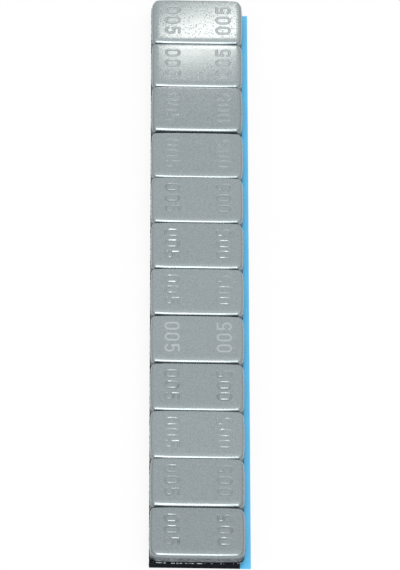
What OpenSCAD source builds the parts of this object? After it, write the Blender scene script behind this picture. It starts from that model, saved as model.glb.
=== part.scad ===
// Stick-on wheel balance weight: a strip of equal steel weights on one foam adhesive tape,
// with a peel-off liner under the tape. The weights are broken off one by one at the gaps.
// Y runs along the strip, X across it and Z is up. The origin is at the middle of the
// liner's underside, the face that the strip lies on.

/* [Weights] */
// Number of weights on the strip
weight_count = 12; // [2:1:20]
// Size of a weight across the strip
weight_width = 19; // [14:0.5:24]
// Size of a weight along the strip
weight_length = 11.8; // [8:0.1:20]
// Thickness of a weight
weight_thickness = 2.9; // [1.5:0.1:5]
// Radius of a weight's four corners, seen from above
corner_radius = 1.6; // [1:0.1:3]
// Radius of the tight arc that rolls a weight's top face over into its sides
edge_radius = 0.7; // [0.3:0.05:0.9]
// Radius of the shallow arc that eases the top face down to the tight one
ease_radius = 8; // [6:0.5:20]

/* [Gaps between weights] */
// Gap between two weights where nothing else is said
usual_gap = 0.2; // [0.05:0.01:1]
// Gap between two weights that were laid close together
close_gap = 0.07; // [0.05:0.01:1]
// Gap between two weights that were laid wide apart
wide_gap = 0.38; // [0.05:0.01:1]
// The one gap that is wider than all the others
widest_gap = 0.65; // [0.05:0.01:1]
// Close gaps, counted from the far end
close_gaps = [1, 2, 4, 10]; // [1:1:19]
// Wide gaps, counted from the far end
wide_gaps = [7, 8, 11]; // [1:1:19]
// Place of the widest gap, counted from the far end
widest_place = 3; // [1:1:19]

/* [Tape and liner] */
// Thickness of the foam tape, with its adhesive
tape_thickness = 1.4; // [0.5:0.1:3]
// How far the tape stops short of the weights at their +X side
tape_inset = 1; // [0:0.1:4]
// Thickness of the liner
liner_thickness = 0.1; // [0.05:0.01:0.5]
// How far the liner reaches past the weights at their +X side
liner_overhang = 1.2; // [0:0.1:5]
// How far the liner stops short of the tape at the far end
liner_shortfall = 0.6; // [0:0.1:5]

/* [Hidden] */
WEIGHTS = [for (place = [1 : weight_count]) str("weight_", place < 10 ? "0" : "", place)];
$fn = 64;

steel_paint = [0.61, 0.64, 0.65];
foam_black = [0.12, 0.13, 0.15];
liner_blue = [0.40, 0.72, 0.90];

// The liner is the widest piece, so it sets the sides of the whole strip.
liner_width = weight_width + liner_overhang;
tape_width = weight_width - tape_inset;
flush_side = -liner_width / 2;
weight_middle = flush_side + weight_width / 2;
tape_top = liner_thickness + tape_thickness;

// Where each weight lies, counted from the far end
function listed(place, places) = len(search(place, places)) > 0;
function gap_after(place) =
    place == widest_place ? widest_gap
    : listed(place, close_gaps) ? close_gap
    : listed(place, wide_gaps) ? wide_gap
    : usual_gap;
function gaps_before(place) = place == 1 ? 0 : gaps_before(place - 1) + gap_after(place - 1);
strip_length = weight_count * weight_length + gaps_before(weight_count);
near_end = -strip_length / 2;
far_end = strip_length / 2;
function weight_centre(place) = far_end - (place - 0.5) * weight_length - gaps_before(place);

// Section of the band that runs round a weight and is as wide as its corners' radius. It stands on
// the x axis with the flat of the face at x = 0: a shallow arc eases the face down, and a tight arc,
// tangent to it, rolls the face over into the side.
module band_section() {
    roll_x = corner_radius - edge_radius;
    roll_z = weight_thickness - ease_radius + sqrt(pow(ease_radius - edge_radius, 2) - pow(roll_x, 2));
    ease_end = roll_x * ease_radius / (ease_radius - edge_radius);
    intersection() {
        translate([0, weight_thickness - ease_radius]) circle(ease_radius);
        square([ease_end, weight_thickness]);
    }
    translate([roll_x, roll_z]) intersection() {
        circle(edge_radius);
        square(edge_radius);
    }
    square([corner_radius, roll_z]);
}

// A straight stretch of the band. It starts at y = 0 and runs towards -Y.
module straight_band(length) {
    rotate([90, 0, 0]) linear_extrude(length) band_section();
}

// A quarter turn of the band, which makes a weight's corner
module corner_band() {
    rotate_extrude(angle = 90) band_section();
}

// One steel weight, standing on z = 0 round the origin: a flat core, with the band round it in
// four straight stretches and four corners that meet face to face
module steel_weight() {
    core_x = weight_width / 2 - corner_radius;
    core_y = weight_length / 2 - corner_radius;
    translate([-core_x, -core_y, 0]) cube([2 * core_x, 2 * core_y, weight_thickness]);
    for (turn = [0, 180]) {
        rotate(turn) {
            translate([core_x, core_y, 0]) straight_band(2 * core_y);
            translate([-core_x, core_y, 0]) rotate(90) straight_band(2 * core_x);
            translate([core_x, core_y, 0]) corner_band();
            translate([-core_x, core_y, 0]) rotate(90) corner_band();
        }
    }
}

// The weight at one place of the strip, stuck on the tape
module weight(place) {
    color(steel_paint) translate([weight_middle, weight_centre(place), tape_top]) steel_weight();
}

// One foam tape under all the weights, flush with them at its -X side
module foam_tape() {
    color(foam_black) translate([flush_side, near_end, liner_thickness])
        cube([tape_width, strip_length, tape_thickness]);
}

// The liner under the tape, which sticks out at the +X side to be gripped
module release_liner() {
    color(liner_blue) translate([flush_side, near_end, 0])
        cube([liner_width, strip_length - liner_shortfall, liner_thickness]);
}

for (place = [1 : weight_count]) {
    weight(place);
}
foam_tape();
release_liner();
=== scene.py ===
"""Looks of a stick-on wheel balance weight: painted steel weights on a foam tape and its liner.

Lengths are in metres, in the part's own frame: Y runs along the strip with its far end at +Y,
X runs across it towards the side where the liner sticks out, and Z is up.
"""

import itertools
import math

import bpy
import numpy as np
from mathutils import Matrix, Vector


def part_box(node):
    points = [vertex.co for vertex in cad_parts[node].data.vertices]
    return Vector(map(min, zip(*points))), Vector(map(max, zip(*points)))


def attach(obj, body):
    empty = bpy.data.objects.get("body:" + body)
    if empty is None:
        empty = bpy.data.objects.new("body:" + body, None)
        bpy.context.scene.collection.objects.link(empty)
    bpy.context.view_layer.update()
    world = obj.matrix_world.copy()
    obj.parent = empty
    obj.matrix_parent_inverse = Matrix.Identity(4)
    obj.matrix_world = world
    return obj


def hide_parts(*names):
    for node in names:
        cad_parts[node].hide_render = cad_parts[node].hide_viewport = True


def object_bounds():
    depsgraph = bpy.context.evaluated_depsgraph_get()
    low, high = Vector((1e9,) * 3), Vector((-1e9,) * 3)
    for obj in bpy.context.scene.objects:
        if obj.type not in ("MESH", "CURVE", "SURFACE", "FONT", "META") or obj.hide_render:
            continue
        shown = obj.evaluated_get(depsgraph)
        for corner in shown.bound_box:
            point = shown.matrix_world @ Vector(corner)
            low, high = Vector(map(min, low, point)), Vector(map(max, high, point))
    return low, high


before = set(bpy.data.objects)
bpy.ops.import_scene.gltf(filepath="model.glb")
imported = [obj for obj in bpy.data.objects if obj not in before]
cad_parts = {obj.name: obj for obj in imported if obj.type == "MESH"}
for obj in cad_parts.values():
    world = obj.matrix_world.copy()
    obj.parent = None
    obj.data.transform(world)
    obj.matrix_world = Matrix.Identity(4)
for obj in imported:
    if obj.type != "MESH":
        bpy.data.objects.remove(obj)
cad_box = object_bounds()

MM = 0.001

# Random values along each axis of the noise's table
NOISE_TABLE = 32

# Edges that turn by more than these angles in degrees stay sharp.
SMOOTH_BELOW = 30
WEIGHT_SMOOTH_BELOW = 40
TAPE_SMOOTH_BELOW = 60

# Camera. Azimuth 0 is -Y and grows towards +X, and the roll turns the view about its own axis.
CAMERA_TARGET = (-0.02 * MM, -4.2 * MM, 4.4 * MM)
CAMERA_DISTANCE = 1384 * MM
CAMERA_AZIMUTH = -1.85
CAMERA_ELEVATION = 51.85
CAMERA_ROLL = 2.28
SENSOR_HEIGHT = 36.0
FOCAL_PIXELS = 6790
FRAME_PIXELS = 570

# Studio. Levels are shares of white. The world changes to its side level over a range of the square
# of a direction's X, and to its zenith level over a range of its Z.
FILL_LEVEL = 1.2
ZENITH_LEVEL = 1.45
SIDE_LEVEL = 0.7
SIDE_FADE = 0.1, 0.6
ZENITH_FADE = 0.8, 1.0
FLOOR_SIZE = 6.0
FLOOR_DROP = 0.02 * MM
FLOOR_GLOW = 0.82

# Weights. The band round a face has the solids' shallow arc and then a tight one, of each weight's
# own radius. Along the far side the blade left most weights with a sharper edge. Corners between two
# weights came out tighter than those at the strip's two ends, the more so at the -X side.
CORNER_RADIUS = 1.6 * MM
CORNER_LEFT = 1.0 * MM
CORNER_RIGHT = 1.35 * MM
CORNER_POINTS = 13
EASE_RADIUS = 8 * MM
FAR_ROLL_RADIUS = 0.3 * MM
FAR_EASE_RADIUS = 200 * MM
FOOT_RADIUS = 0.08 * MM
EASE_POINTS = 5
ROLL_POINTS = 10
FOOT_POINTS = 3
FACE_STEP = 0.07 * MM
FACE_STEP_COARSE = 0.35 * MM
FINE_MARGIN = 0.25 * MM
FACE_WAVE = 0.004 * MM
FACE_WAVE_SPACING = 2.2 * MM
FACE_WAVE_FADE = 1 * MM
ROLL_WAVER = 0.006 * MM
ROLL_WAVER_SPACING = 3 * MM
BOW_LENGTH = 3 * MM
BOW_DEPTH = 0.1 * MM

# Sheared walls, from the underside up: a burr, a torn band, and the wall that the die wiped. The
# wall's roughness begins and is full at shares of the weight's thickness.
BURR_HEIGHT = 0.26 * MM
BURR_REACH = 0.04 * MM
BURR_DASH = 0.25 * MM
BURR_PATCH = 7 * MM
TORN_HEIGHT = 0.62 * MM
TORN_DEPTH = 0.09 * MM
ROUGH_ZONE = 0.75, 0.6
WALL_ROUGHNESS = 0.022 * MM
WALL_GRAIN = 0.3 * MM

# Struck numbers, as tall across the strip as the real marks are. The right one is struck to a share
# of the left one's depth, and the depth changes from patch to patch about its mean. The bowl of a 5
# has a share of its height and runs between two angles in degrees.
DIGIT_HEIGHT = 3.3 * MM
DIGIT_WIDTH = 2.15 * MM
DIGIT_PITCH = 2.8 * MM
STROKE_WIDTH = 0.56 * MM
STROKE_WALL = 0.18 * MM
MARK_LEFT = -5.1 * MM
MARK_RIGHT = 5.5 * MM
MARK_FORWARD = 0.35 * MM
RIGHT_SHARE = 0.86
STRIKE_PATCH = 1.2 * MM
STRIKE_MEAN = 0.7
STRIKE_CHANGE = 0.45
ROUND_POINTS = 15
BOWL_POINTS = 25
BOWL_SHARE = 0.62
BOWL_START = 142
BOWL_STOP = -148

# How each weight came out, from the far end: the depth in mm of its numbers, their dullness and how
# much darker they are, how much darker its paint is than the lightest weight's, how pitted the paint
# is, the radius of its roll in mm, and how far its far edge has kept the near edge's form. All but the
# depth and the radius are shares.
FINISHES = (
    (0.110, 1.00, 0.3, 0.00, 0.88, 0.70, 0.0),
    (0.110, 0.80, 0.4, 0.00, 0.28, 0.80, 0.5),
    (0.085, 0.10, 0.0, 0.05, 0.50, 0.90, 0.0),
    (0.085, 0.05, 0.0, 0.02, 0.40, 0.62, 0.0),
    (0.110, 0.20, 0.8, 0.00, 0.40, 0.70, 0.0),
    (0.170, 0.05, 0.0, 0.03, 0.50, 0.75, 0.0),
    (0.150, 0.05, 0.0, 0.00, 0.40, 0.65, 0.0),
    (0.060, 1.00, 0.0, 0.00, 0.40, 0.70, 0.0),
    (0.150, 0.20, 0.7, 0.04, 0.80, 0.70, 0.0),
    (0.145, 0.15, 0.0, 0.01, 0.40, 0.70, 0.0),
    (0.100, 0.15, 0.6, 0.05, 0.50, 0.95, 0.0),
    (0.155, 0.20, 0.8, 0.11, 0.80, 0.70, 0.0),
)

# Seeds of the noises. Each weight has its own run of them.
WEIGHT_SEED = 100
WEIGHT_SEED_STEP = 10
TAPE_SEED = 61
LINER_SEED = 71

# Foam tape and liner. A pore begins and has its full depth at two levels of a noise.
TAPE_CORNER = 0.15 * MM
TAPE_CORNER_POINTS = 5
TAPE_STEP = 0.12 * MM
TAPE_ROWS = 14
PORE_SIZE = 0.3 * MM
PORE_DEPTH = 0.12 * MM
COARSE_PORES = 0.05, 0.75
FINE_PORES = 0.2, 0.8
ADHESIVE_BAND = 0.16
ADHESIVE_BULGE = 0.07 * MM
ADHESIVE_LUMP = 0.55 * MM
LINER_RIPPLE = 0.05 * MM
LINER_RIPPLE_SPACING = 4.5 * MM
LINER_ROWS = 400
LINER_COLUMNS_UNDER = 12
LINER_COLUMNS_FREE = 20

# Colours of the paint, the steel, the foam and the film, in linear light. A pair is the darkest and
# the lightest of a speckle.
PAINT_SHADES = (0.311, 0.359, 0.375, 1), (0.434, 0.485, 0.501, 1)
PAINT_CLOUD = (0.364, 0.418, 0.429, 1)
# Painted shade: the rolls' lower part is darkened to stand for dim reflections there.
PAINT_ROLL_SHADE = (0.20, 0.23, 0.25, 1)
STROKE_DULL = (0.60, 0.63, 0.64, 1)
# Darker colour in the struck strokes.
STROKE_DARKER = (0.15, 0.17, 0.18, 1)
# The wiped wall's own steel tone, kept darker partly as painted shade.
STEEL_WIPED_AND_SHADE = (0.07, 0.085, 0.095, 1), (0.25, 0.28, 0.29, 1)
# Painted shade on the walls at the flanks and round the corners, between the weights.
STEEL_FLANK_SHADE = (0.03, 0.04, 0.045, 1)
# The torn band is real and recessed, and its near-black colour is painted shade.
STEEL_TORN_SHADE = (0.005, 0.007, 0.011, 1)
# Bare steel of the burr, made brighter than it is as a painted highlight.
STEEL_BURR_AND_GLINT = (0.80, 0.82, 0.83, 1)
FOAM_SHADES = (0.001, 0.002, 0.003, 1), (0.007, 0.010, 0.015, 1)
FOAM_ADHESIVE = (0.03, 0.04, 0.05, 1)
FILM_SHADES = (0.125, 0.56, 0.93, 1), (0.139, 0.60, 0.98, 1)
FILM_STREAK = (0.16, 0.64, 0.99, 1)
# Painted shade on the liner's cut near end under the tape.
FILM_CUT_SHADE = (0.005, 0.012, 0.02, 1)
FLOOR_WHITE = (0.9, 0.9, 0.9, 1)
BLACK = (0, 0, 0, 1)
WHITE = (1, 1, 1, 1)

# Zones of a weight's paint: the height where each begins and where it is full, as shares of the
# weight's thickness
PITTED_ZONE = 0.95, 0.99
# Painted shade on the rolls: a little more on the flanks, and more all round lower down.
FLANK_ROLL_SHADE_ZONE = 0.97, 0.8
ROLL_SHADE_ZONE = 0.9, 0.8
WALL_ZONE = 0.72, 0.58
TORN_ZONE = 0.28, 0.235

# Sizes of the speckles in each material, and the heights of their bumps
PAINT_GRAIN = 0.33 * MM
PAINT_FLAKE = 0.14 * MM
PAINT_CLOUD_SIZE = 5 * MM
PAINT_BUMP = 0.007 * MM
PIT_SPACING = 0.48 * MM
PIT_REACH = 0.4
STEEL_SMEAR = 0.3 * MM
FOAM_CELL = 0.25 * MM
FOAM_BUMP = 0.08 * MM
ADHESIVE_GLINT = 0.45 * MM
FILM_STREAK_SIZE = 0.6 * MM
FILM_CLOUD_SIZE = 6 * MM
FILM_BUMP = 0.01 * MM


def noise(points, cell, seed):
    """Value noise from -1 to 1. Lattice corners lie a cell apart and each has a random value;
    between them the eight nearest values are blended with weights t * t * (3 - 2 * t). Points that
    are scaled down along an axis first give a noise drawn out along it."""
    table = np.random.default_rng(seed).uniform(-1, 1, [NOISE_TABLE] * 3)
    place = points / cell
    base = np.floor(place).astype(int)
    t = place - base
    t = t * t * (3 - 2 * t)
    total = np.zeros(points.shape[:-1])
    for corner in itertools.product((0, 1), repeat=3):
        index = (base + corner) % NOISE_TABLE
        share = np.where(np.array(corner) == 1, t, 1 - t).prod(axis=-1)
        total += share * table[index[..., 0], index[..., 1], index[..., 2]]
    return total


def smoothstep(low, high, x):
    """0 at low, 1 at high, and t * t * (3 - 2 * t) between them. Low may be above high."""
    t = np.clip((x - low) / (high - low), 0, 1)
    return t * t * (3 - 2 * t)


def make_piece(name, points, polygons, attributes, smooth_below=SMOOTH_BELOW):
    """A mesh object from an array of points and a list of arrays of polygons, each array with
    polygons of one size. Attributes are numbers at the points, by name."""
    mesh = bpy.data.meshes.new(name)
    corners = np.concatenate([p.ravel() for p in polygons])
    sizes = np.concatenate([np.full(len(p), p.shape[1]) for p in polygons])
    mesh.vertices.add(len(points))
    mesh.vertices.foreach_set("co", points.astype(np.float32).ravel())
    mesh.loops.add(len(corners))
    mesh.loops.foreach_set("vertex_index", corners.astype(np.int32))
    mesh.polygons.add(len(sizes))
    mesh.polygons.foreach_set("loop_start", (np.cumsum(sizes) - sizes).astype(np.int32))
    mesh.update(calc_edges=True)
    mesh.polygons.foreach_set("use_smooth", np.ones(len(sizes), bool))
    mesh.set_sharp_from_angle(angle=math.radians(smooth_below))
    for key, values in attributes.items():
        mesh.attributes.new(key, "FLOAT", "POINT").data.foreach_set("value", values.astype(np.float32))
    piece = bpy.data.objects.new(name, mesh)
    bpy.context.scene.collection.objects.link(piece)
    return piece


def ring_quads(rings, count):
    """Quads between rings of count points each, given as their first points' numbers. The rings
    run anticlockwise seen from above, and each lies outside or below the one before it."""
    here = np.arange(count)
    after = (here + 1) % count
    steps = zip(rings, rings[1:])
    return [np.stack([a + here, b + here, b + after, a + after], axis=1) for a, b in steps]


def grid_quads(number):
    """Quads over a grid of point numbers whose first index runs along X and second along Y."""
    corners = [number[:-1, :-1], number[1:, :-1], number[1:, 1:], number[:-1, 1:]]
    return np.stack(corners, axis=-1).reshape(-1, 4)


def arc(centre, radii, start, stop, count):
    """Points on an ellipse's arc, between two angles in degrees."""
    angle = np.radians(np.linspace(start, stop, count))
    return np.array(centre) + np.array(radii) * np.stack([np.cos(angle), np.sin(angle)], axis=1)


def digit_zero(half_width, half_height):
    """Middle line of a 0: two half rounds joined by straight sides."""
    straight = half_height - half_width
    top = arc((0, straight), (half_width, half_width), 0, 180, ROUND_POINTS)
    bottom = arc((0, -straight), (half_width, half_width), 180, 360, ROUND_POINTS)
    return [np.concatenate([top, bottom, top[:1]])]


def digit_five(half_width, half_height):
    """Middle line of a 5: a bar, a stem down its left side, and a bowl."""
    bowl_height = BOWL_SHARE * half_height
    bowl_middle = bowl_height - half_height
    radii = half_width, bowl_height
    bowl = arc((0, bowl_middle), radii, BOWL_START, BOWL_STOP, BOWL_POINTS)
    bar = np.array([[0.9 * half_width, half_height], [-0.8 * half_width, half_height], bowl[0]])
    return [bar, bowl]


def distance_to_lines(points, lines):
    """Each point's distance to the nearest of some broken lines."""
    nearest = np.full(len(points), np.inf)
    for line in lines:
        for a, b in zip(line, line[1:]):
            along = b - a
            t = np.clip((points - a) @ along / (along @ along), 0, 1)
            nearest = np.minimum(nearest, np.linalg.norm(points - a - t[:, None] * along, axis=1))
    return nearest


def struck(x, y):
    """How deep the struck numbers go at each point of a face, from 0 to 1. Each stroke has a flat
    floor and smoothstep walls. The left number reads towards -Y and the right one towards +Y, so
    their uprights point to +X and to -X."""
    half_width = (DIGIT_WIDTH - STROKE_WIDTH) / 2
    half_height = (DIGIT_HEIGHT - STROKE_WIDTH) / 2
    digits = [digit_zero, digit_zero, digit_five]
    depth = np.zeros(len(x))
    for across, turn, share in ((MARK_LEFT, -1, 1), (MARK_RIGHT, 1, RIGHT_SHARE)):
        reading = turn * (y - MARK_FORWARD)
        upright = -turn * (x - across)
        for place, digit in enumerate(digits):
            local = np.stack([reading - (place - 1) * DIGIT_PITCH, upright], axis=1)
            gap = distance_to_lines(local, digit(half_width, half_height))
            stroke = smoothstep(STROKE_WIDTH / 2, STROKE_WIDTH / 2 - STROKE_WALL, gap)
            depth = np.maximum(depth, share * stroke)
    return depth


def graded_lines(half, spans):
    """Coordinates from -half to half, closely spaced inside the spans and coarsely outside."""
    stops = [-half] + [edge for span in spans for edge in span] + [half]
    lines = [np.array([-half])]
    for place, (a, b) in enumerate(zip(stops, stops[1:])):
        step = FACE_STEP if place % 2 else FACE_STEP_COARSE
        count = max(1, math.ceil((b - a) / step))
        lines.append(np.linspace(a, b, count + 1)[1:])
    return np.concatenate(lines)


def band_section(height, roll_radius, ease_radius):
    """Section of the band from the face to the underside, as distances outward from the core and
    heights above the underside: the shallow arc, the tight arc, the wall and the foot's rounding."""
    roll_x = CORNER_RADIUS - roll_radius
    roll_z = height - ease_radius + math.sqrt((ease_radius - roll_radius) ** 2 - roll_x ** 2)
    meet = math.asin(roll_x / (ease_radius - roll_radius))
    ease = np.linspace(0, meet, EASE_POINTS)[1:]
    roll = np.linspace(meet, math.pi / 2, ROLL_POINTS)[1:]
    foot = np.linspace(0, math.pi / 2, FOOT_POINTS)
    wiped = np.linspace(roll_z, TORN_HEIGHT, 4)[1:]
    wall = np.concatenate([wiped, np.linspace(TORN_HEIGHT, FOOT_RADIUS, 6)[1:-1]])
    out = [
        ease_radius * np.sin(ease),
        roll_x + roll_radius * np.sin(roll),
        np.full(len(wall), CORNER_RADIUS),
        CORNER_RADIUS - FOOT_RADIUS * (1 - np.cos(foot)),
    ]
    up = [
        height - ease_radius * (1 - np.cos(ease)),
        roll_z + roll_radius * np.cos(roll),
        wall,
        FOOT_RADIUS * (1 - np.sin(foot)),
    ]
    return np.stack([np.concatenate(out), np.concatenate(up)])


def sheared_band(rim, height, seed):
    """How far each point of the band stands out from its section: a slow waver on the roll, a
    grainy wall, a recess along the torn band and patches of ragged burr at the foot. The second
    array is the burr alone, from 0 to 1."""
    up = rim[..., 2]
    slow = noise(rim * (1, 1, 0.2), ROLL_WAVER_SPACING, seed + 3)
    waver = ROLL_WAVER * smoothstep(height, 0.8 * height, up) * slow
    wall = smoothstep(ROUGH_ZONE[0] * height, ROUGH_ZONE[1] * height, up)
    grain = noise(rim * (1, 1, 0.5), WALL_GRAIN, seed + 1)
    above_burr = smoothstep(0.8 * BURR_HEIGHT, 1.6 * BURR_HEIGHT, up)
    torn = smoothstep(TORN_HEIGHT, 0.75 * TORN_HEIGHT, up) * above_burr
    dashes = noise(rim * (1, 1, 0.2), BURR_DASH, seed + 2)
    patches = noise(rim * (1, 1, 0), BURR_PATCH, seed + 10)
    ragged = smoothstep(-0.1, 0.35, dashes + 0.55 * patches - 0.05)
    burr = smoothstep(BURR_HEIGHT, 0.6 * BURR_HEIGHT, up) * ragged
    recess = WALL_ROUGHNESS * wall * (0.5 + 0.5 * grain) + TORN_DEPTH * torn * (0.7 + 0.3 * grain)
    return waver + BURR_REACH * burr - recess, burr


def corner_stretch(heading, radius):
    """How many times as far out as the band's own round a tighter corner of a radius lies, in each
    direction from the core's corner: first along the straight side, then along the tighter arc."""
    along, aside = np.sort(np.abs([np.cos(heading), np.sin(heading)]), axis=0)[::-1]
    offset = CORNER_RADIUS - radius
    middle = offset * (along + aside)
    reach = middle + np.sqrt(np.maximum(middle ** 2 - 2 * offset ** 2 + radius ** 2, 0))
    straight = aside * CORNER_RADIUS < along * offset
    return np.where(straight, 1 / along, reach / CORNER_RADIUS)


def bowed(points, core):
    """How far the sides are drawn in towards the corners at points in plan: the square of the
    distance run along a side's last stretch, up to the bow's depth at the corner."""
    into = np.clip((np.abs(points) - core) / BOW_LENGTH + 1, 0, 1) ** 2 * BOW_DEPTH
    return into[..., ::-1]


def steel_weight(node, finish, seed):
    """One weight. Its core is a height field over a grid with the struck strokes in it, and the
    band's section is carried round the core's edge, turning about the core's corners, where it is
    stretched to the corner's own radius."""
    low, high = (np.array(corner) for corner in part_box(node))
    middle = (low + high) / 2
    size = high - low
    strike_depth, dullness, stroke_darkening, darkness, pitting, roll, far_softness = finish
    core_x, core_y = size[0] / 2 - CORNER_RADIUS, size[1] / 2 - CORNER_RADIUS
    margin = DIGIT_HEIGHT / 2 + FINE_MARGIN
    marked = [(across - margin, across + margin) for across in (MARK_LEFT, MARK_RIGHT)]
    columns = graded_lines(core_x, marked)
    rows = np.linspace(-core_y, core_y, math.ceil(2 * core_y / FACE_STEP) + 1)
    nx, ny = len(columns), len(rows)
    x, y = (a.ravel() for a in np.meshgrid(columns, rows, indexing="ij"))
    stroke = struck(x, y)
    flat = np.stack([x, y, np.full(len(x), seed * MM)], axis=1)
    evenness = STRIKE_MEAN + STRIKE_CHANGE * noise(flat, STRIKE_PATCH, seed + 4)
    edge = np.minimum(core_x - np.abs(x), core_y - np.abs(y))
    wave = FACE_WAVE * smoothstep(0, FACE_WAVE_FADE, edge) * noise(flat, FACE_WAVE_SPACING, seed)
    z = size[2] - strike_depth * MM * stroke * evenness + wave
    core = np.stack([x, y, z], axis=1)

    number = np.arange(nx * ny).reshape(nx, ny)
    quarter = np.linspace(0, math.pi / 2, CORNER_POINTS)
    sides = [number[-1, :], number[::-1, -1], number[0, ::-1], number[:, 0]]
    base, heading = [], []
    for side, points in enumerate(sides):
        facing = side * math.pi / 2
        base += [points, np.full(len(quarter) - 2, points[-1])]
        heading += [np.full(len(points), facing), facing + quarter[1:-1]]
    base, heading = np.concatenate(base), np.concatenate(heading)
    count = len(base)
    outward = np.stack([np.cos(heading), np.sin(heading)], axis=1)
    usual = band_section(size[2], roll * MM, EASE_RADIUS)[..., None]
    sharp = band_section(size[2], FAR_ROLL_RADIUS, FAR_EASE_RADIUS)[..., None]
    out, up = usual + (sharp - usual) * (1 - far_softness) * smoothstep(0.5, 1, outward[:, 1])
    tighter = np.where(outward[:, 0] < 0, CORNER_LEFT, CORNER_RIGHT)
    is_first, is_last = high[1] > cad_box[1][1] - MM, low[1] < cad_box[0][1] + MM
    radius = np.where(np.where(outward[:, 1] > 0, is_first, is_last), CORNER_RADIUS, tighter)
    out = out * corner_stretch(heading, radius)
    rim = np.concatenate([core[base, :2] + out[..., None] * outward, up[..., None]], axis=2)
    reach, burr = sheared_band(rim + (0, seed * MM, 0), size[2], seed)
    rim[..., :2] += (reach[..., None] - bowed(core[base, :2], (core_x, core_y))) * outward[None]

    rings = [nx * ny + k * count for k in range(len(out))]
    here = np.arange(count)
    after = (here + 1) % count
    turning = base == base[after]
    seam = np.stack([base, rings[0] + here, rings[0] + after, base[after]], axis=1)
    underside = (rings[-1] + here[::-1])[None]
    polygons = [grid_quads(number), seam[~turning], seam[turning][:, :3], *ring_quads(rings, count)]
    on_rim = np.zeros(len(out) * count)
    attributes = {
        "dull": np.concatenate([dullness * stroke, on_rim]),
        "stroke_darkening": np.concatenate([stroke_darkening * stroke * evenness, on_rim]),
        "level": np.concatenate([np.ones(len(x)), up.ravel() / size[2]]),
        "flank": np.concatenate([np.zeros(len(x)), np.tile(np.abs(outward[:, 0]), len(out))]),
        "burr": np.concatenate([np.zeros(len(x)), burr.ravel()]),
        "dark": np.full(len(x) + len(on_rim), darkness),
        "pitted": np.full(len(x) + len(on_rim), pitting),
    }
    points = np.concatenate([core, rim.reshape(-1, 3)]) + (middle[0], middle[1], low[2])
    piece = make_piece("painted_" + node, points, polygons + [underside], attributes,
                       WEIGHT_SMOOTH_BELOW)
    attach(piece, "root")
    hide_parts(node)
    return piece


def foam_tape():
    """The tape: a path round its plan, with small corner rounds, carried up from the liner to the
    steel. Its cut sides have pores pressed into them and thin beads of adhesive at both edges."""
    low, high = (np.array(corner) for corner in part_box("foam_tape"))
    half = (high - low)[:2] / 2
    middle = (high + low)[:2] / 2
    height = high[2] - low[2]
    straight = half - TAPE_CORNER
    path, heading = [], []
    for side in range(4):
        facing = side * math.pi / 2
        normal = np.array([math.cos(facing), math.sin(facing)]).round()
        along = np.array([-normal[1], normal[0]])
        reach = abs(along @ straight)
        steps = np.linspace(-reach, reach, math.ceil(2 * reach / TAPE_STEP) + 1)
        path.append(normal * np.abs(normal @ half) + steps[:, None] * along)
        heading.append(np.full(len(steps), facing))
        turn = np.linspace(0, math.pi / 2, TAPE_CORNER_POINTS)[1:-1] + facing
        round_middle = normal * np.abs(normal @ straight) + along * reach
        path.append(round_middle + TAPE_CORNER * np.stack([np.cos(turn), np.sin(turn)], axis=1))
        heading.append(turn)
    path, heading = np.concatenate(path), np.concatenate(heading)
    count = len(path)
    outward = np.stack([np.cos(heading), np.sin(heading)], axis=1)
    rise = np.linspace(1, 0, TAPE_ROWS + 1)
    sides = np.concatenate([
        np.broadcast_to(path[None], (len(rise), count, 2)),
        np.broadcast_to((rise * height)[:, None, None], (len(rise), count, 1)),
    ], axis=2).copy()
    edge = np.minimum(rise, 1 - rise)
    bead = smoothstep(ADHESIVE_BAND, ADHESIVE_BAND / 2, edge) * smoothstep(-0.02, 0.03, edge)
    lumps = noise(sides * (1, 1, 0.4), ADHESIVE_LUMP, TAPE_SEED)
    coarse_pores = smoothstep(*COARSE_PORES, noise(sides, PORE_SIZE, TAPE_SEED + 1))
    fine_pores = smoothstep(*FINE_PORES, noise(sides, PORE_SIZE / 2, TAPE_SEED + 2))
    inset = PORE_DEPTH * (coarse_pores + 0.5 * fine_pores) * smoothstep(0.02, 0.2, edge)[:, None]
    bulge = ADHESIVE_BULGE * bead[:, None] * (0.35 + 0.65 * lumps)
    sides[..., :2] += (bulge - inset)[..., None] * outward[None]
    here = np.arange(count)
    rings = [k * count for k in range(len(rise))]
    polygons = [*ring_quads(rings, count), here[None], (rings[-1] + here[::-1])[None]]
    points = sides.reshape(-1, 3) + (middle[0], middle[1], low[2])
    sticky = np.repeat(bead, count)
    piece = make_piece("cut_foam_tape", points, polygons, {"sticky": sticky}, TAPE_SMOOTH_BELOW)
    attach(piece, "root")
    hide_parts("foam_tape")
    return piece


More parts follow.
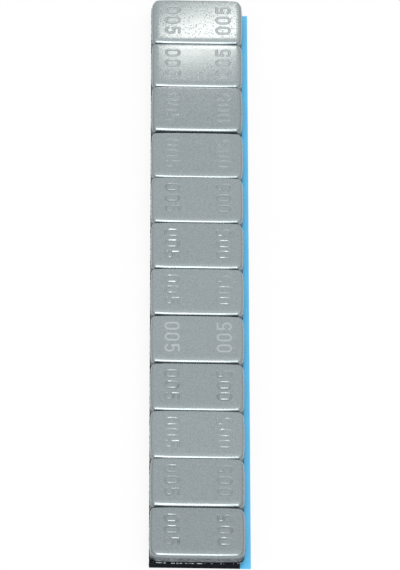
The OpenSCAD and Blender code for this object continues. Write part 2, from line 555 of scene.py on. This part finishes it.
def release_liner():
    """The liner: a flat film whose free edge beside the tape ripples up by a noise that grows from
    nothing at the tape to its full height at the edge. Its cut near end under the tape is painted dark
    as shade."""
    low, high = (np.array(corner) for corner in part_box("release_liner"))
    tape_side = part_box("foam_tape")[1][0]
    free = high[0] - tape_side
    under = np.linspace(low[0], tape_side, LINER_COLUMNS_UNDER)
    across = np.concatenate([under[:-1], np.linspace(tape_side, high[0], LINER_COLUMNS_FREE)])
    along = np.linspace(low[1], high[1], LINER_ROWS)
    x, y = np.meshgrid(across, along, indexing="ij")
    spread = smoothstep(0, 1, (x - tape_side) / free)
    wander = noise(np.stack([x * 0.2, y, np.zeros_like(x)], axis=-1), LINER_RIPPLE_SPACING, LINER_SEED)
    lift = LINER_RIPPLE * spread * (0.5 + 0.5 * wander)
    top = np.stack([x, y, lift + high[2] - low[2]], axis=-1).reshape(-1, 3)
    bottom = np.stack([x, y, lift], axis=-1).reshape(-1, 3)
    number = np.arange(x.size).reshape(x.shape)
    quads = grid_quads(number)
    loop = np.concatenate([number[:-1, 0], number[-1, :-1], number[:0:-1, -1], number[0, :0:-1]])
    after = np.roll(loop, -1)
    rim = np.stack([loop, loop + x.size, after + x.size, after], axis=1)
    points = np.concatenate([top, bottom])
    # Painted shade on the cut near end under the tape.
    shaded_cut_edge = np.tile(((y == low[1]) & (x <= tape_side)).ravel(), 2)
    polygons = [quads, quads[:, ::-1] + x.size, rim]
    piece = make_piece("blue_release_liner", points, polygons, {"shaded_cut_edge": shaded_cut_edge})
    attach(piece, "root")
    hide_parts("release_liner")
    return piece


class Wire:
    """A value that varies over a surface. Arithmetic on it adds Math nodes to its graph."""

    def __init__(self, graph, socket):
        self.graph, self.socket = graph, socket

    def output(self, name):
        """Another output of the same node."""
        return Wire(self.graph, self.socket.node.outputs[name])

    def math(self, operation, first, second):
        return self.graph.node("ShaderNodeMath", {"operation": operation}, {0: first, 1: second}, 0)

    def __add__(self, other):
        return self.math("ADD", self, other)

    def __radd__(self, other):
        return self.math("ADD", other, self)

    def __sub__(self, other):
        return self.math("SUBTRACT", self, other)

    def __rsub__(self, other):
        return self.math("SUBTRACT", other, self)

    def __mul__(self, other):
        return self.math("MULTIPLY", self, other)

    def __rmul__(self, other):
        return self.math("MULTIPLY", other, self)


class Graph:
    """The nodes of one material or of the world."""

    def __init__(self, owner, output="ShaderNodeOutputMaterial"):
        owner.use_nodes = True
        self.owner, self.tree = owner, owner.node_tree
        self.tree.nodes.clear()
        self.last = self.tree.nodes.new(output)

    def node(self, kind, settings, sockets, output):
        """Adds a node, sets its settings and then its sockets' values or links, and gives one of
        its outputs."""
        made = self.tree.nodes.new(kind)
        for key, value in settings.items():
            setattr(made, key, value)
        for key, value in sockets.items():
            if isinstance(value, Wire):
                self.tree.links.new(value.socket, made.inputs[key])
            else:
                made.inputs[key].default_value = value
        return Wire(self, made.outputs[output])

    def place(self):
        return self.node("ShaderNodeTexCoord", {}, {}, "Object")

    def attribute(self, name):
        return self.node("ShaderNodeAttribute", {"attribute_name": name}, {}, "Fac")

    def speckle(self, size, detail=2.0, stretch=(1, 1, 1)):
        """Noise from 0 to 1 with features of a size in metres, on Object coordinates."""
        place = self.node("ShaderNodeMapping", {}, {"Vector": self.place(), "Scale": stretch}, 0)
        sockets = {"Vector": place, "Scale": 1 / size, "Detail": detail, "Roughness": 0.55}
        return self.node("ShaderNodeTexNoise", {}, sockets, "Fac")

    def dots(self, spacing, reach):
        """Round dots scattered a spacing apart in metres: 1 in their middles, and 0 from a reach
        on, which is a share of the spacing."""
        sockets = {"Vector": self.place(), "Scale": 1 / spacing}
        away = self.node("ShaderNodeTexVoronoi", {}, sockets, "Distance")
        return self.span(away, reach, reach / 3)

    def span(self, value, low, high, to_low=0.0, to_high=1.0):
        """The value's range from low to high spread over another range, smoothly and clamped."""
        settings = {"interpolation_type": "SMOOTHSTEP", "clamp": True}
        sockets = {"Value": value, "From Min": low, "From Max": high,
                   "To Min": to_low, "To Max": to_high}
        return self.node("ShaderNodeMapRange", settings, sockets, 0)

    def blend(self, share, first, second):
        """A colour from first to second by a share from 0 to 1."""
        return self.node("ShaderNodeMix", {"data_type": "RGBA"}, {0: share, 6: first, 7: second}, 2)

    def bump(self, height, distance):
        return self.node("ShaderNodeBump", {}, {"Height": height, "Distance": distance}, 0)

    def principled(self, sockets):
        self.close(self.node("ShaderNodeBsdfPrincipled", {}, sockets, 0))

    def close(self, shader):
        self.tree.links.new(shader.socket, self.last.inputs["Surface"])


def weight_paint():
    """Silver-grey metallic paint with a fine grain and small round pits. Struck strokes can be dull,
    and darker. The rolls are painted darker low down as shade, more so on the flanks. Down the wall it
    gives way to wiped steel, kept dark partly as painted shade and darker still on the flanks and
    round the corners as painted shade, then comes the torn band, painted near black as shade, then
    specks of burr, bare steel made brighter as a painted highlight. The level is the height above the
    underside as a share of the weight's thickness."""
    paint = Graph(bpy.data.materials.new("weight_paint"))
    dull, stroke_darkening, burr = paint.attribute("dull"), paint.attribute("stroke_darkening"), paint.attribute("burr")
    level, flank = paint.attribute("level"), paint.attribute("flank")
    grain = paint.speckle(PAINT_GRAIN, 3.0)
    flake = paint.speckle(PAINT_FLAKE, 1.0)
    pits = paint.dots(PIT_SPACING, PIT_REACH) * paint.attribute("pitted")
    pits = pits * paint.span(level, *PITTED_ZONE)
    cloud = paint.speckle(PAINT_CLOUD_SIZE, 2.0)
    smears = paint.speckle(STEEL_SMEAR, 3.0, (0.35, 0.35, 1.4))
    tone = paint.span(grain * 0.6 + flake * 0.4, 0.32, 0.68)
    wall = paint.span(level, *WALL_ZONE)
    torn = paint.span(level + smears * 0.08, *TORN_ZONE)
    face = paint.blend(tone, *PAINT_SHADES)
    face = paint.blend(cloud * 0.5, face, PAINT_CLOUD)
    face = paint.blend(paint.attribute("dark"), face, BLACK)
    # Painted shade low on the rolls, deeper on the flanks.
    roll_shade = flank * paint.span(level, *FLANK_ROLL_SHADE_ZONE, 0, 0.1)
    roll_shade = roll_shade + paint.span(level, *ROLL_SHADE_ZONE, 0, 0.45)
    face = paint.blend(roll_shade, face, PAINT_ROLL_SHADE)
    face = paint.blend(dull * 0.75, face, STROKE_DULL)
    # Darker in the struck strokes.
    face = paint.blend(stroke_darkening * 0.6, face, STROKE_DARKER)
    # Wiped steel of the wall, its dark tone partly painted shade.
    wiped = paint.blend(paint.span(smears, 0.34, 0.66), *STEEL_WIPED_AND_SHADE)
    # Painted shade: the wall darker on the flanks and round the corners.
    wiped = paint.blend(flank * 0.7, wiped, STEEL_FLANK_SHADE)
    # The torn band, painted near black as shade.
    steel = paint.blend(torn, wiped, STEEL_TORN_SHADE)
    # Specks of burr: bare steel with a painted highlight, fewer on the flanks.
    steel = paint.blend(burr * (1 - flank * 0.75), steel, STEEL_BURR_AND_GLINT)
    paint.principled({
        "Base Color": paint.blend(wall, face, steel),
        "Metallic": 0.8 + torn * 0.2,
        "Roughness": 0.165 + tone * 0.09 + pits * 0.16 + dull * 0.26 + wall * 0.14 + torn * 0.2,
        "Normal": paint.bump(grain * 0.42 + flake * 0.1 - pits * 1.1, PAINT_BUMP),
    })
    return paint.owner


def black_foam():
    """Black closed-cell foam, matt, with shiny adhesive along its edges."""
    foam = Graph(bpy.data.materials.new("black_foam"))
    cells = foam.speckle(FOAM_CELL, 3.0)
    glint = foam.attribute("sticky") * foam.span(foam.speckle(ADHESIVE_GLINT, 1.0), 0.5, 0.62)
    colour = foam.blend(cells, *FOAM_SHADES)
    foam.principled({
        "Base Color": foam.blend(glint * 0.4, colour, FOAM_ADHESIVE),
        "Roughness": 0.8 - glint * 0.5,
        "Specular IOR Level": 0.12,
        "Normal": foam.bump(cells, FOAM_BUMP),
    })
    return foam.owner


def blue_film():
    """Sky-blue release film, slightly glossy, with faint streaks along its length."""
    film = Graph(bpy.data.materials.new("blue_film"))
    streaks = film.speckle(FILM_STREAK_SIZE, 2.0, (1, 0.08, 1))
    cloud = film.speckle(FILM_CLOUD_SIZE, 2.0)
    colour = film.blend(cloud, *FILM_SHADES)
    colour = film.blend(film.span(streaks, 0.35, 0.7, 0.0, 0.25), colour, FILM_STREAK)
    film.principled({
        # The cut near end under the tape is painted dark as shade.
        "Base Color": film.blend(film.attribute("shaded_cut_edge"), colour, FILM_CUT_SHADE),
        "Roughness": 0.3 + streaks * 0.16,
        "Specular IOR Level": 0.3,
        "Normal": film.bump(streaks, FILM_BUMP),
    })
    return film.owner


def white_floor():
    """The floor: white to the camera and in reflections, but it keeps the object's shadow. It lies
    a hair under the liner and is clear from below, where the liner's underside shows."""
    floor = Graph(bpy.data.materials.new("white_floor"))
    camera = floor.node("ShaderNodeLightPath", {}, {}, "Is Camera Ray")
    seen = camera + camera.output("Is Glossy Ray") + camera.output("Is Transmission Ray")
    shaded = floor.node("ShaderNodeBsdfDiffuse", {}, {"Color": FLOOR_WHITE}, 0)
    glowing = floor.node("ShaderNodeEmission", {}, {"Color": WHITE, "Strength": 1.0}, 0)
    share = floor.span(seen, 0, 1, 0, FLOOR_GLOW)
    above = floor.node("ShaderNodeMixShader", {}, {0: share, 1: shaded, 2: glowing}, 0)
    clear = floor.node("ShaderNodeBsdfTransparent", {}, {}, 0)
    below = floor.node("ShaderNodeNewGeometry", {}, {}, "Backfacing")
    floor.close(floor.node("ShaderNodeMixShader", {}, {0: below, 1: above, 2: clear}, 0))
    corners = FLOOR_SIZE * np.array([[-1, -1, 0], [1, -1, 0], [1, 1, 0], [-1, 1, 0]])
    corners -= (0, 0, FLOOR_DROP)
    plane = make_piece("studio_floor", corners, [np.arange(4)[None]], {})
    plane.data.materials.append(floor.owner)


def studio_world():
    """A white studio, a little brighter overhead and dimmer at both sides: white in the camera, and
    at its own level as fill light."""
    bpy.context.scene.world = bpy.data.worlds.new("studio")
    world = Graph(bpy.context.scene.world, "ShaderNodeOutputWorld")
    diffuse = world.node("ShaderNodeLightPath", {}, {}, "Is Diffuse Ray")
    sky = world.node("ShaderNodeTexCoord", {}, {}, "Generated")
    across = world.node("ShaderNodeSeparateXYZ", {}, {0: sky}, "X")
    side = world.span(across * across, *SIDE_FADE, 1.0, SIDE_LEVEL)
    height = across.output("Z")
    overhead = world.span(height, *ZENITH_FADE, 1.0, ZENITH_LEVEL)
    level = overhead * side * world.span(diffuse, 0, 1, 1.0, FILL_LEVEL)
    world.close(world.node("ShaderNodeBackground", {}, {"Strength": level}, 0))


def direction(azimuth, elevation):
    """Unit vector from the object. Azimuth 0 is -Y, where the camera stands, and grows towards +X."""
    a, e = math.radians(azimuth), math.radians(elevation)
    return Vector((math.sin(a) * math.cos(e), -math.cos(a) * math.cos(e), math.sin(e)))


def facing(target, azimuth, elevation, distance, spin):
    """Matrix of a thing at a distance from its target, in a direction, that looks at the target
    and is turned about that line."""
    away = direction(azimuth, elevation)
    turn = away.to_track_quat("Z", "Y").to_matrix() @ Matrix.Rotation(math.radians(spin), 3, "Z")
    return Matrix.Translation(Vector(target) + away * distance) @ turn.to_4x4()


def panel(name, target, azimuth, elevation, distance, size, radiance,
          spin=0.0, grid=180.0, colour=(1, 1, 1)):
    """A soft rectangular lamp. A grid narrows its beam: its radiance falls with the tangent of the
    angle off its axis, to nothing at half the grid's angle h. Its power is the radiance straight
    ahead times area times pi, times (tan h - h) / tan h for the light that the grid holds back."""
    light = bpy.data.lights.new(name, "AREA")
    light.shape = "RECTANGLE"
    light.size, light.size_y = size
    light.color = colour
    light.energy = radiance * size[0] * size[1] * math.pi
    light.spread = math.radians(grid)
    half = light.spread / 2
    if grid < 180:
        light.energy *= (math.tan(half) - half) / math.tan(half)
    lamp = bpy.data.objects.new(name, light)
    lamp.visible_camera = False
    bpy.context.scene.collection.objects.link(lamp)
    lamp.matrix_world = facing(target, azimuth, elevation, distance, spin)


def photo_camera():
    """The photograph's view, with its focal length from the frame's height in pixels."""
    data = bpy.data.cameras.new("photo_camera")
    data.sensor_width = SENSOR_HEIGHT
    data.lens = SENSOR_HEIGHT * FOCAL_PIXELS / FRAME_PIXELS
    data.clip_end = 50
    camera = bpy.data.objects.new("photo_camera", data)
    bpy.context.scene.collection.objects.link(camera)
    camera.matrix_world = facing(
        CAMERA_TARGET, CAMERA_AZIMUTH, CAMERA_ELEVATION, CAMERA_DISTANCE, CAMERA_ROLL)
    bpy.context.scene.camera = camera


photo_camera()
studio_world()
white_floor()
paint = weight_paint()
nodes = sorted(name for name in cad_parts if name.startswith("weight_"))
for place, (node, finish) in enumerate(zip(nodes, FINISHES)):
    steel_weight(node, finish, WEIGHT_SEED + WEIGHT_SEED_STEP * place).data.materials.append(paint)
foam_tape().data.materials.append(black_foam())
release_liner().data.materials.append(blue_film())

# The softbox and its dimmer rim make the bright lines along the near edges. The small lamp close to
# the far end makes the glare on the first two weights.
panel("near_softbox", target=(0, 0, 0), azimuth=-3, elevation=52, distance=1.9,
      size=(0.3, 1.3), radiance=3.0)
panel("near_softbox_rim", target=(0, 0, 0), azimuth=-3, elevation=52, distance=2.0,
      size=(0.9, 1.9), radiance=1.2)
panel("far_end_lamp", target=(3.2 * MM, 60 * MM, 4.4 * MM), azimuth=179.3, elevation=47,
      distance=60 * MM, size=(22.5 * MM, 8 * MM), radiance=4.6, spin=12, grid=39,
      colour=(1, 0.90, 0.82))

bpy.context.scene.view_settings.view_transform = "Standard"
